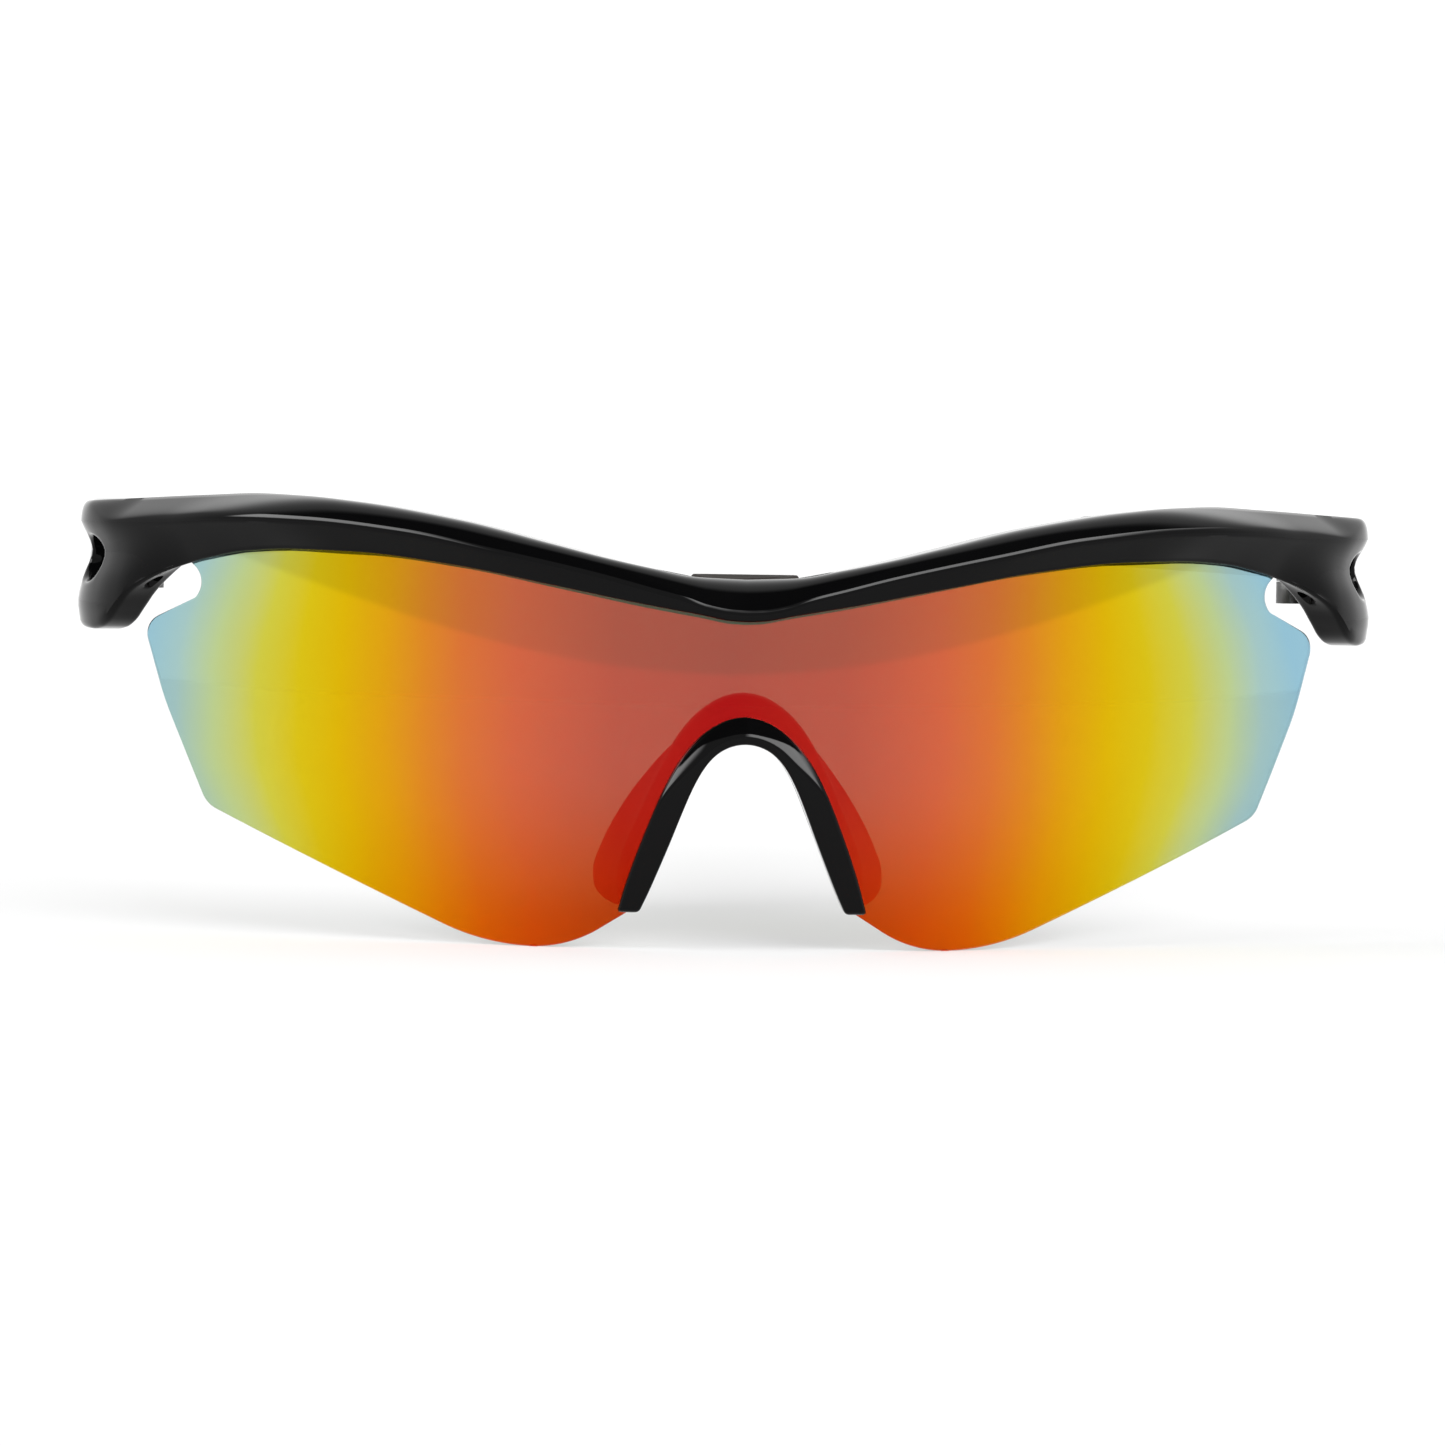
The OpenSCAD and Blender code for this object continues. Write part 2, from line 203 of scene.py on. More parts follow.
def lens_normal(x, z, depth=0.0):
    """Outward normal of that surface, away from the wearer."""
    up = (z - MID_Z) / (RISE_R - depth)
    y = lens_y(x, z, depth) - LENS_R
    flat = np.sqrt(x * x + y * y)
    level = np.sqrt(1 - up * up)
    return np.stack([x / flat * level, y / flat * level, up], axis=-1)


WALL_R = LENS_R + BROW_FRONT
WRAP_R = (HALF_W - WALL_R * math.sin(WRAP_ANGLE)) / (1 - math.sin(WRAP_ANGLE))
WRAP_X = (WALL_R - WRAP_R) * math.sin(WRAP_ANGLE)
WRAP_Y = LENS_R - (WALL_R - WRAP_R) * math.cos(WRAP_ANGLE)
ARC_END = WALL_R * WRAP_ANGLE
WRAP_END = ARC_END + WRAP_R * (math.pi / 2 - WRAP_ANGLE)
WALL_END = WRAP_END + HINGE_Y - WRAP_Y


def wall_at(s, d):
    """(x, y) at run s along the outer face of the brow bar and endpiece, and d inwards from it."""
    if s <= ARC_END:
        a = s / WALL_R
        return (WALL_R - d) * math.sin(a), LENS_R - (WALL_R - d) * math.cos(a)
    if s <= WRAP_END:
        a = WRAP_ANGLE + (s - ARC_END) / WRAP_R
        return WRAP_X + (WRAP_R - d) * math.sin(a), WRAP_Y - (WRAP_R - d) * math.cos(a)
    return HALF_W - d, WRAP_Y + s - WRAP_END


# ---------- materials ----------

def node_material(name):
    """A new material, its node tree and its shader."""
    m = bpy.data.materials.new(name)
    m.use_nodes = True
    nt = m.node_tree
    return m, nt, nt.nodes["Principled BSDF"]


def link(nt, a, out, b, socket):
    """Joins two nodes by the names of their sockets."""
    nt.links.new(a.outputs[out], b.inputs[socket])


def maths(nt, kind, a, b=None, c=None):
    """The output of a Math node; a, b and c are sockets or plain numbers."""
    n = nt.nodes.new("ShaderNodeMath")
    n.operation = kind
    for k, v in enumerate((a, b, c)):
        if v is None:
            continue
        if isinstance(v, (int, float)):
            n.inputs[k].default_value = v
        else:
            nt.links.new(v, n.inputs[k])
    return n.outputs[0]


def ease(nt, value, low, high, to_low, to_high):
    """The output of a node that runs smoothly from to_low to to_high as value goes from low to high."""
    n = nt.nodes.new("ShaderNodeMapRange")
    n.interpolation_type = "SMOOTHSTEP"
    for socket, v in (("From Min", low), ("From Max", high), ("To Min", to_low), ("To Max", to_high)):
        n.inputs[socket].default_value = v
    nt.links.new(value, n.inputs["Value"])
    return n.outputs[0]


def xyz(nt, coords, kind):
    """The three parts of a coordinate."""
    parts = nt.nodes.new("ShaderNodeSeparateXYZ")
    link(nt, coords, kind, parts, "Vector")
    return parts.outputs["X"], parts.outputs["Y"], parts.outputs["Z"]


def noise(nt, scale, detail=4.0, coords=None):
    """A noise node in the piece's own coordinates."""
    n = nt.nodes.new("ShaderNodeTexNoise")
    n.inputs["Scale"].default_value = scale
    n.inputs["Detail"].default_value = detail
    if coords is None:
        coords = nt.nodes.new("ShaderNodeTexCoord")
    link(nt, coords, "Object", n, "Vector")
    return n


def spread(nt, texture, low, high):
    """The output of a node that maps the texture's 0..1 to low..high."""
    n = nt.nodes.new("ShaderNodeMapRange")
    n.inputs["To Min"].default_value = low
    n.inputs["To Max"].default_value = high
    link(nt, texture, "Fac", n, "Value")
    return n.outputs[0]


def uneven(nt, texture, bsdf, low, high):
    """Roughness that wanders between low and high."""
    nt.links.new(spread(nt, texture, low, high), bsdf.inputs["Roughness"])


def bump(nt, texture, bsdf, distance, strength):
    """Raises the surface by a texture, by distance in metres."""
    b = nt.nodes.new("ShaderNodeBump")
    b.inputs["Distance"].default_value = distance
    b.inputs["Strength"].default_value = strength
    link(nt, texture, "Fac", b, "Height")
    link(nt, b, "Normal", bsdf, "Normal")


def plastic(name, colour, rough, vary, gloss, grain=0.0):
    """Moulded plastic: a dark base, uneven gloss and, where it is matte, a fine grain."""
    m, nt, bsdf = node_material(name)
    bsdf.inputs["Base Color"].default_value = (*colour, 1)
    bsdf.inputs["Specular IOR Level"].default_value = gloss
    uneven(nt, noise(nt, 90.0, 5.0), bsdf, rough - vary, rough + vary)
    if grain:
        bump(nt, noise(nt, 5200.0, 2.0), bsdf, 0.00003, grain)
    return m


def steel(name, colour, rough):
    """Stamped or turned steel, with its grain drawn out along one axis."""
    m, nt, bsdf = node_material(name)
    bsdf.inputs["Metallic"].default_value = 1.0
    bsdf.inputs["Base Color"].default_value = (*colour, 1)
    coords = nt.nodes.new("ShaderNodeTexCoord")
    stretch = nt.nodes.new("ShaderNodeMapping")
    stretch.inputs["Scale"].default_value = (1.0, 1.0, 14.0)
    link(nt, coords, "Object", stretch, "Vector")
    n = nt.nodes.new("ShaderNodeTexNoise")
    n.inputs["Scale"].default_value = 700.0
    link(nt, stretch, "Vector", n, "Vector")
    uneven(nt, n, bsdf, rough - 0.08, rough + 0.1)
    bump(nt, n, bsdf, 0.00002, 0.4)
    return m


def srgb(r, g, b):
    """Linear colour from 8-bit display values."""
    return tuple(((c / 255 + 0.055) / 1.055) ** 2.4 if c > 10 else c / 255 / 12.92 for c in (r, g, b))


MIRROR_SOLID = 0.75
BACK_SHEEN = 0.06

# By distance from the middle line in millimetres: the display colour of the lens on white, and the
# linear share of each colour that the lens body lets through
BANDS = [
    (0, (174, 84, 71), (0.16, 0.345, 0.235)),
    (12, (182, 87, 70), (0.17, 0.345, 0.225)),
    (17, (193, 92, 69), (0.18, 0.33, 0.20)),
    (22.5, (206, 99, 66), (0.18, 0.31, 0.17)),
    (28, (214, 113, 54), (0.22, 0.28, 0.10)),
    (32, (218, 132, 38), (0.24, 0.26, 0.05)),
    (36, (219, 156, 20), (0.25, 0.24, 0.01)),
    (41, (217, 177, 9), (0.25, 0.22, 0.003)),
    (45.7, (213, 189, 22), (0.24, 0.22, 0.01)),
    (50.5, (203, 198, 66), (0.20, 0.25, 0.10)),
    (55.3, (182, 200, 138), (0.18, 0.28, 0.22)),
    (59.5, (155, 188, 186), (0.16, 0.28, 0.30)),
    (64, (138, 182, 200), (0.14, 0.28, 0.32)),
]
BAND_END = 66.0
BAND_OFFSET = 1.7


def band_colours(nt, coords, colours, at_bottom):
    """The output of a ramp that runs out from the middle line, multiplied by at_bottom at the lower edge."""
    x, _, z = xyz(nt, coords, "Object")
    side = maths(nt, "ABSOLUTE", maths(nt, "ADD", x, BAND_OFFSET * MM))
    outer = ease(nt, side, 0.036, 0.052, 0.0, 1.0)
    low = ease(nt, z, 0.001, 0.021, 1.0, 0.0)
    rise = maths(nt, "SUBTRACT", z, MID_Z * MM)
    bulge = maths(nt, "MULTIPLY", maths(nt, "MULTIPLY", rise, rise), maths(nt, "MULTIPLY", outer, 16.0))
    shift = maths(nt, "MULTIPLY_ADD", low, 0.0025, bulge)
    drift = spread(nt, noise(nt, 60.0, 3.0, coords), -0.0012, 0.0012)
    distance = maths(nt, "ADD", maths(nt, "ADD", side, shift), drift)
    ramp = nt.nodes.new("ShaderNodeValToRGB")
    nt.links.new(maths(nt, "DIVIDE", distance, BAND_END * MM), ramp.inputs["Fac"])
    stops = ramp.color_ramp.elements
    while len(stops) < len(BANDS):
        stops.new(0.5)
    for stop, band, colour in zip(stops, BANDS, colours):
        stop.position = band[0] / BAND_END
        stop.color = (*colour, 1)
    warm = nt.nodes.new("ShaderNodeMix")
    warm.data_type = "RGBA"
    warm.blend_type = "MULTIPLY"
    warm.inputs[7].default_value = (*at_bottom, 1)
    nt.links.new(maths(nt, "MULTIPLY", low, maths(nt, "SUBTRACT", 1.0, outer)), warm.inputs[0])
    nt.links.new(ramp.outputs["Color"], warm.inputs[6])
    return warm.outputs[2]


def mirror_coat():
    """The iridescent coating: upright bands of colour that warm up towards the lower edge."""
    m, nt, bsdf = node_material("mirror_coat")
    bsdf.inputs["Metallic"].default_value = 1.0
    bsdf.inputs["Alpha"].default_value = MIRROR_SOLID
    coords = nt.nodes.new("ShaderNodeTexCoord")
    behind = (1 - MIRROR_SOLID) * (1 - BACK_SHEEN)
    colours = []
    for _, shown, through in BANDS:
        colours.append([max(0.0005, (c - behind * t) / MIRROR_SOLID) for c, t in zip(srgb(*shown), through)])
    nt.links.new(band_colours(nt, coords, colours, (0.95, 0.85, 0.05)), bsdf.inputs["Base Color"])
    uneven(nt, noise(nt, 400.0, 3.0, coords), bsdf, 0.02, 0.06)
    return m


def tinted_back():
    """The tinted body of the lens, seen on its rear face: clear, coloured like the bands it sits behind."""
    m, nt, bsdf = node_material("tinted_back")
    bsdf.inputs["Base Color"].default_value = (0.02, 0.012, 0.01, 1)
    uneven(nt, noise(nt, 300.0), bsdf, 0.04, 0.1)
    coords = nt.nodes.new("ShaderNodeTexCoord")
    clear = nt.nodes.new("ShaderNodeBsdfTransparent")
    tint = band_colours(nt, coords, [through for _, _, through in BANDS], (1.0, 0.55, 0.08))
    nt.links.new(tint, clear.inputs["Color"])
    blend = nt.nodes.new("ShaderNodeMixShader")
    blend.inputs["Fac"].default_value = BACK_SHEEN
    nt.links.new(clear.outputs[0], blend.inputs[1])
    nt.links.new(bsdf.outputs[0], blend.inputs[2])
    nt.links.new(blend.outputs[0], nt.nodes["Material Output"].inputs["Surface"])
    return m


# The material of each of the record's slots
FINISH = {
    "gloss_black": plastic("gloss_nylon", (0.0013, 0.0013, 0.0014), 0.045, 0.012, 0.105),
    "satin_black": plastic("satin_nylon", (0.006, 0.006, 0.006), 0.42, 0.06, 0.3, grain=0.25),
    "soft_rubber": plastic("soft_rubber", (0.011, 0.011, 0.011), 0.62, 0.08, 0.35, grain=0.6),
    "brow_rubber": plastic("brow_rubber", (0.014, 0.011, 0.009), 0.7, 0.06, 0.35, grain=0.6),
    "hinge_steel": steel("hinge_steel", (0.12, 0.12, 0.118), 0.34),
    "fastener_steel": steel("fastener_steel", (0.34, 0.335, 0.325), 0.42),
    "mirror_lens": mirror_coat(),
}
LENS_EDGE = plastic("lens_edge", (0.5, 0.47, 0.4), 0.2, 0.06, 0.5)
TINT = tinted_back()


# ---------- lens ----------

LEG_LEAN = math.radians(22.7)
ARCH_R = 4.9
ARCH_Z = 17.1


def lens_outline():
    """Corners (x, z, radius) of the lens seen from the front, with the cut-out for the nose."""
    edge = ARCH_R + 1.1
    foot = 4.0
    return both_sides([
        (0, 36.9, 3),
        (38, 43.7, 40),
        (54, 44.2, 10),
        (61.3, 41.6, 1),
        (57.3, 38.0, 2.4),
        (58.6, 35.9, 1.2),
        (64.5, 32.9, 2.2),
        (62, 24.8, 30),
        (57.1, 13.6, 3),
        (26.8, 0, 24),
        (18.2, 0, 13),
        (edge / math.cos(LEG_LEAN) + (ARCH_Z - foot) * math.tan(LEG_LEAN), foot, 0.4),
        (0, ARCH_Z + edge / math.sin(LEG_LEAN), edge),
    ])


LENS_EDGE_ROUND = 0.3
# Rings of the rounded edge: (inset, depth behind the face, share of the normal that faces the front)
LENS_EDGE_RINGS = [
    (0.09, 0.09, 0.99),
    (0.0, LENS_EDGE_ROUND, 0.96),
    (0.0, LENS_T - LENS_EDGE_ROUND, -0.96),
    (0.09, LENS_T - 0.09, -0.99),
]
MIRROR_SLOT, TINT_SLOT, EDGE_SLOT = 0, 1, 2


def outward(p):
    """The direction away from the inside at each point of a closed line."""
    ahead = np.roll(p, -1, 0) - p
    behind = p - np.roll(p, 1, 0)
    ahead /= np.linalg.norm(ahead, axis=1)[:, None]
    behind /= np.linalg.norm(behind, axis=1)[:, None]
    along = ahead + behind
    along /= np.linalg.norm(along, axis=1)[:, None]
    out = np.stack([-along[:, 1], along[:, 0]], 1)
    if np.sum(p[:, 0] * np.roll(p[:, 1], -1) - np.roll(p[:, 0], -1) * p[:, 1]) > 0:
        out = -out
    return out


def fill_line(line, gap):
    """Flat points and triangles that fill a closed line, and the number of each of the line's own points."""
    n = len(line)
    inner = []
    for x in np.arange(-64, 64.01, gap):
        for z in np.arange(0, 44.01, gap):
            inner.append(Vector((x, z)))
    loop = [Vector(p) for p in line]
    verts, _, faces, sources, _, _ = delaunay_2d_cdt(loop + inner, [], [list(range(n))], 1, 1e-5)
    flat = np.array([tuple(v) for v in verts])
    of_line = {}
    for new, olds in enumerate(sources):
        for old in olds:
            if old < n:
                of_line[old] = new
    triangles = []
    for face in faces:
        a = flat[list(face)]
        b = np.roll(a, -1, 0)
        area = np.sum(a[:, 0] * b[:, 1] - b[:, 0] * a[:, 1])
        triangles.append(list(face) if area > 0 else list(reversed(face)))
    return flat, triangles, [of_line[i] for i in range(n)]


def on_lens(flat, depth):
    """Flat (x, z) points set on the surface that lies depth behind the lens face."""
    return np.stack([flat[:, 0], lens_y(flat[:, 0], flat[:, 1], depth), flat[:, 1]], 1)


def edge_ring(outline, out, inset, depth, ahead):
    """Points and normals of one ring of the edge, with ahead as the share of them that faces the front."""
    flat = outline - out * inset
    face = lens_normal(flat[:, 0], flat[:, 1], depth)
    side = np.stack([out[:, 0], np.zeros(len(out)), out[:, 1]], 1)
    side -= face * np.sum(side * face, 1)[:, None]
    side /= np.linalg.norm(side, axis=1)[:, None]
    return on_lens(flat, depth), face * ahead + side * math.sqrt(1 - ahead * ahead)


def shield_lens():
    """The lens as one closed sheet with a softly rounded edge and exact toric faces."""
    outline = np.array([tuple(p) for p in evenly(round_corners(lens_outline()), 0.7)])
    out = outward(outline)
    flat, triangles, of_line = fill_line(outline - out * LENS_EDGE_ROUND, 1.3)
    n, count = len(outline), len(flat)
    points = [on_lens(flat, 0.0), on_lens(flat, LENS_T)]
    normals = [lens_normal(flat[:, 0], flat[:, 1]), -lens_normal(flat[:, 0], flat[:, 1], LENS_T)]
    faces, slots = [], []
    for face in triangles:
        faces += [face, [i + count for i in reversed(face)]]
        slots += [MIRROR_SLOT, TINT_SLOT]
    rings = [of_line]
    for k, (inset, depth, ahead) in enumerate(LENS_EDGE_RINGS):
        ring, ring_normals = edge_ring(outline, out, inset, depth, ahead)
        points.append(ring)
        normals.append(ring_normals)
        first = 2 * count + k * n
        rings.append(list(range(first, first + n)))
    rings.append([i + count for i in of_line])
    strips = (MIRROR_SLOT, MIRROR_SLOT, EDGE_SLOT, TINT_SLOT, TINT_SLOT)
    for a, b, slot in zip(rings, rings[1:], strips):
        for i in range(n):
            j = (i + 1) % n
            faces.append([a[i], a[j], b[j], b[i]])
            slots.append(slot)
    name = "shield_lens_sheet"
    mesh = build_mesh(name, np.concatenate(points), faces, [FINISH["mirror_lens"], TINT, LENS_EDGE])
    mesh.polygons.foreach_set("material_index", slots)
    mesh.normals_split_custom_set_from_vertices([tuple(v) for v in np.concatenate(normals)])
    add_piece(mesh, name, "front", "shield_lens")


# ---------- brow bar and endpieces ----------

# Heights along the run: the lower edge, the crease between face and bevel, and the top edge
BROW_BOTTOM = [
    (0, 34.8), (1.6, 34.88), (5, 35.5), (10.5, 36.45), (21.2, 38.4), (32.6, 40.25), (44.9, 41.35),
    (53, 41.45), (60.5, 41.1), (66, 40.3), (69, 39.75), (73.2, 38.6), (76.5, 37.15), (78.3, 36.0),
    (80.2, 34.3), (82, 32.95), (84, 32.25), (87, 31.95), (96, 32.2), (103.6, 33.3),
]
BROW_RIDGE = [
    (0, 35.75), (1.3, 35.8), (3, 36.05), (4.8, 36.6), (6, 37.05), (10, 38.1), (15.9, 39.6), (27.3, 41.9),
    (38, 43.75), (50, 44.7), (57, 44.82), (64.6, 44.7), (71.5, 44.35), (82, 44.3), (103.6, 44.2),
]
BROW_TOP = [
    (0, 39.2), (5.4, 39.4), (10.5, 40.3), (15.9, 41.4), (21.2, 42.6), (32.6, 45.0), (44.9, 46.65),
    (53, 47.2), (61, 47.35), (69, 47.05), (77.6, 46.65), (84, 46.35), (90, 46.15), (103.6, 46.0),
]
RIDGE_R = 2.0
HEEL_R = 0.6
BACK_R = 1.0
WAIST_Z, WAIST_H = 40.7, 2.7
LOBE_Z, LOBE_H = 34.8, 1.6
GROOVE_H = 2.55
GROOVE_ROOM = 0.05
OVAL_POWER = 2 / 2.3
PATCH_RINGS = 4

# How many rows of the section each stretch has, in order
ROWS = {"crease": 6, "face": 15, "ridge": 9, "bevel": 10, "top": 4, "back": 15, "heel": 5, "under": 11}


def first_rows():
    """The number of the first row of each stretch."""
    starts = {}
    row = 0
    for stretch, count in ROWS.items():
        starts[stretch] = row
        row += count
    return starts


ROW_AT = first_rows()


def brow_section(s, shaped=1.0):
    """The closed outline, as (depth, height) rows, of the bar or endpiece at run s.

    shaped is the share of the endpiece's waist and lower lobe.
    """
    bottom = float(curve_at(s, BROW_BOTTOM))
    ridge = float(curve_at(s, BROW_RIDGE))
    top = float(curve_at(s, BROW_TOP))
    thick = 6.8 - 2.4 * share_of(s, 60, 84)
    flare = share_of(s, 70, 86)
    bar = share_of(s, 8, 40)
    setback = 0.8 * bar * (1 - share_of(s, 70, 84))
    lean = (1.3 * bar + 0.8 * share_of(s, 46, 58)) * (1 - share_of(s, 69, 80))
    waist, lobe = 1.6 * flare * shaped, 0.5 * flare * shaped
    lift = 1.5 * (1 - share_of(s, 68, 79))
    crease_r = 0.3 + 0.2 * (1 - share_of(s, 4, 14)) + 0.35 * flare
    face_low = bottom + crease_r
    face_high = max(ridge - 0.45, face_low + 0.12)
    tilt = 24 * (1 - share_of(s, 70, 84)) + 2
    crease_at = (lobe + setback + lean + crease_r, face_low)
    out = arc(crease_at, crease_r, 180, 90, steps(ROWS["crease"], 0))
    out += face_rows(face_low, face_high, setback, lean, waist, lobe)
    out += arc((out[-1][0] + RIDGE_R, face_high), RIDGE_R, -90, tilt, steps(ROWS["ridge"]))
    out += bevel_rows(out[-1], tilt, top, thick, share_of(s, 47, 67), share_of(s, 79, 89))
    out += back_rows(out[-1][0], thick, top, bottom + lift)
    out += under_rows(s, bottom, lift, out[-1][0], out[0][0])
    return np.array(out)


def face_rows(low, high, setback, lean, waist, lobe):
    """Rows up the face: it leans back towards its foot, and dips at the endpiece's waist."""
    out = []
    for k in range(ROWS["face"]):
        share = k / (ROWS["face"] - 1)
        z = low + (high - low) * share
        dip = waist * math.exp(-((z - WAIST_Z) / WAIST_H) ** 2)
        swell = lobe * math.exp(-((z - LOBE_Z) / LOBE_H) ** 2)
        base = lobe * (1 - share_of(z, 34, 44))
        out.append((base + dip - swell * 0.6 + setback + lean * (1 - share), z))
    return out


def back_rows(from_d, thick, top, heel):
    """Rows over the top edge, down the back and round the lower rear edge, whose foot is at height heel."""
    back_r = min(BACK_R, (thick - from_d) * 0.8)
    high, low = top - back_r, heel + HEEL_R
    out = arc((thick - back_r, high), back_r, 0, 90, steps(ROWS["top"]))
    out += [(thick, high + (low - high) * share) for share in steps(ROWS["back"])]
    return out + arc((thick - HEEL_R, low), HEEL_R, 90, 90, steps(ROWS["heel"]))


def bevel_rows(start, tilt, top, thick, chamfer, corner):
    """Rows from the ridge up to the top edge.

    They are rounded over the bar, make a flat chamfer over the endpiece and a tight corner at its side.
    """
    first = np.array(start)
    rise = top - first[1]
    tilt = math.radians(tilt)
    rounded = first + np.array([rise * math.tan(tilt), rise])
    crisp = first + 0.45 * np.array([math.sin(tilt), math.cos(tilt)])
    middle = rounded + (crisp - rounded) * chamfer * (1 - corner)
    deep = 1.6 * rise * (1 - chamfer) + (thick - 0.75 - first[0]) * chamfer
    last = np.array([first[0] + deep * (1 - corner) + 1.1 * corner, top])
    curve = [first * (1 - t) ** 2 + middle * 2 * t * (1 - t) + last * t * t for t in steps(ROWS["bevel"])]
    return [tuple(p) for p in curve]


def under_rows(s, bottom, lift, from_d, to_d):
    """Rows forward along the underside, with the groove that holds the lens."""
    closed = share_of(s, 66.5, 68.5)
    groove = GROOVE_H * (1 - closed)
    front, deep_front = (
        WALL_R - (LENS_R - RISE_R + math.sqrt(RISE_R ** 2 - (z - MID_Z) ** 2)) - GROOVE_ROOM
        for z in (bottom, bottom + GROOVE_H)
    )
    slant = deep_front - front
    back = front + LENS_T + 2 * GROOVE_ROOM
    third = (back - front) / 3
    open_rows = [
        ((from_d + back) / 2, 0), (back, 0), (back + slant / 2, 0.5), (back + slant, 1),
        (back + slant - third, 1), (front + slant + third, 1), (front + slant, 1), (front + slant / 2, 0.5),
        (front, 0), (front + (to_d - front) * 0.4, 0), (front + (to_d - front) * 0.75, 0),
    ]
    out = []
    for k, (d, share) in enumerate(open_rows):
        even = from_d + (to_d - from_d) * (k + 1) / (len(open_rows) + 1)
        d += (even - d) * closed
        out.append((d, bottom + lift * (d - to_d) / (from_d - to_d) + groove * share))
    return out


def on_wall(s, d, z):
    """The point at run s, depth d and height z."""
    x, y = wall_at(s, d)
    return x, y, z


class Skin:
    """A lofted skin that can be punched with holes. It holds points and faces for x > 0."""

    def __init__(self, section, stations):
        self.section = section
        self.s = list(stations)
        self.points = []
        self.faces = []
        self.n = len(section(self.s[0]))
        for s in self.s:
            self.points += [on_wall(s, d, z) for d, z in section(s)]
        self.cut = set()

    def index(self, i, j):
        """The number of the point at station i and row j."""
        return i * self.n + j % self.n

    def outline(self, s, row):
        """Depth and height of the section at run s and fractional row."""
        here = self.section(s)
        j = int(math.floor(row))
        t = row - j
        return here[j % self.n] * (1 - t) + here[(j + 1) % self.n] * t

    def at(self, s, row):
        """The surface point at run s and fractional row."""
        return on_wall(s, *self.outline(s, row))

    def row_for(self, s, first, last, height):
        """The fractional row between first and last that lies at a height."""
        heights = self.section(s)[first:last + 1, 1]
        order = np.argsort(heights)
        return float(np.interp(height, heights[order], np.arange(first, last + 1)[order]))

    def height(self, i, j):
        """The height of a grid point."""
        return self.section(self.s[i])[j % self.n][1]

    def cut_block(self, i0, i1, j0, j1):
        """Leaves out a block of cells, and gives the grid points round it."""
        self.cut.update((i, j) for i in range(i0, i1) for j in range(j0, j1))
        loop = [(i, j0) for i in range(i0, i1)]
        loop += [(i1, j) for j in range(j0, j1)]
        loop += [(i, j1) for i in range(i1, i0, -1)]
        loop += [(i0, j) for j in range(j1, j0, -1)]
        return loop

    def add(self, points):
        """Adds points and gives their numbers."""
        first = len(self.points)
        self.points += [tuple(p) for p in points]
        return list(range(first, first + len(points)))

    def bridge(self, a, b, flip=False):
        """A strip of faces between two rings of points."""
        n = len(a)
        for i in range(n):
            j = (i + 1) % n
            f = [a[i], a[j], b[j], b[i]]
            self.faces.append(f[::-1] if flip else f)

    def grid_faces(self):
        """The faces of every cell that no hole takes."""
        for i in range(len(self.s) - 1):
            for j in range(self.n):
                if (i, j) not in self.cut:
                    self.faces.append([self.index(i, j), self.index(i + 1, j),
                                       self.index(i + 1, j + 1), self.index(i, j + 1)])


def near(values, x):
    """The number of the value nearest to x."""
    return int(np.argmin(np.abs(np.array(values) - x)))


def oval(mid, half, grow, angle):
    """A point on a slightly squared oval in run and height, or in run and row."""
    return (mid[0] + (half[0] + grow) * signed_power(math.cos(angle), OVAL_POWER),
            mid[1] + (half[1] + grow) * signed_power(math.sin(angle), OVAL_POWER))


def angles_round(edge, mid, half):
    """Where on an oval each point of an edge round it belongs."""
    return [math.atan2((c - mid[1]) / half[1], (s - mid[0]) / half[0]) for s, c in edge]


def patch(skin, loop, edge, ends, place, flip=False):
    """Rings from a block's edge in to an oval. place(run, height or row) gives each point."""
    previous = [skin.index(i, j) for i, j in loop]
    for k in range(1, PATCH_RINGS + 1):
        t = k / PATCH_RINGS
        ring = []
        for (s, c), (to_s, to_c) in zip(edge, ends):
            ring.append(place(s + (to_s - s) * t, c + (to_c - c) * t))
        ids = skin.add(ring)
        skin.bridge(previous, ids, flip)
        previous = ids
    return previous


def punch_window(skin):
    """The oval window through the endpiece, with rounded lips."""
    mid, half, lip = (90.0, 39.7), (4.4, 2.55), 0.35
    face, last_face = ROW_AT["face"], ROW_AT["face"] + ROWS["face"] - 1
    i0, i1 = near(skin.s, 84.2), near(skin.s, 95.8)
    j0, j1 = face + 4, face + 13
    back = ROW_AT["back"] + 2

    def face_row(s, z):
        return skin.row_for(s, face, last_face, z)

    front_loop = skin.cut_block(i0, i1, j0, j1)
    skin.cut_block(i0, i1, back, back + j1 - j0)
    back_loop = [(i, back + j1 - j) for i, j in front_loop]
    front_edge = [(skin.s[i], skin.height(i, j)) for i, j in front_loop]
    back_edge = [(skin.s[i], skin.height(i, j)) for i, j in back_loop]
    angles = angles_round(front_edge, mid, half)
    ends = [oval(mid, half, lip, a) for a in angles]
    ring = patch(skin, front_loop, front_edge, ends, lambda s, z: skin.at(s, face_row(s, z)))
    back_ring = patch(skin, back_loop, back_edge, ends, lambda s, z: on_wall(s, WALL_T, z), flip=True)
    for grow, depth in ((0.12, 0.1), (0.0, 0.35), (0.0, 1.6), (0.0, 2.6), (0.0, 4.05), (0.12, 4.3)):
        points = []
        for s, z in (oval(mid, half, grow, a) for a in angles):
            from_d = skin.outline(s, face_row(s, z))[0]
            points.append(on_wall(s, from_d + depth if depth < 1 else max(depth, from_d + 0.5), z))
        ids = skin.add(points)
        skin.bridge(ring, ids)
        ring = ids
    skin.bridge(ring, back_ring)


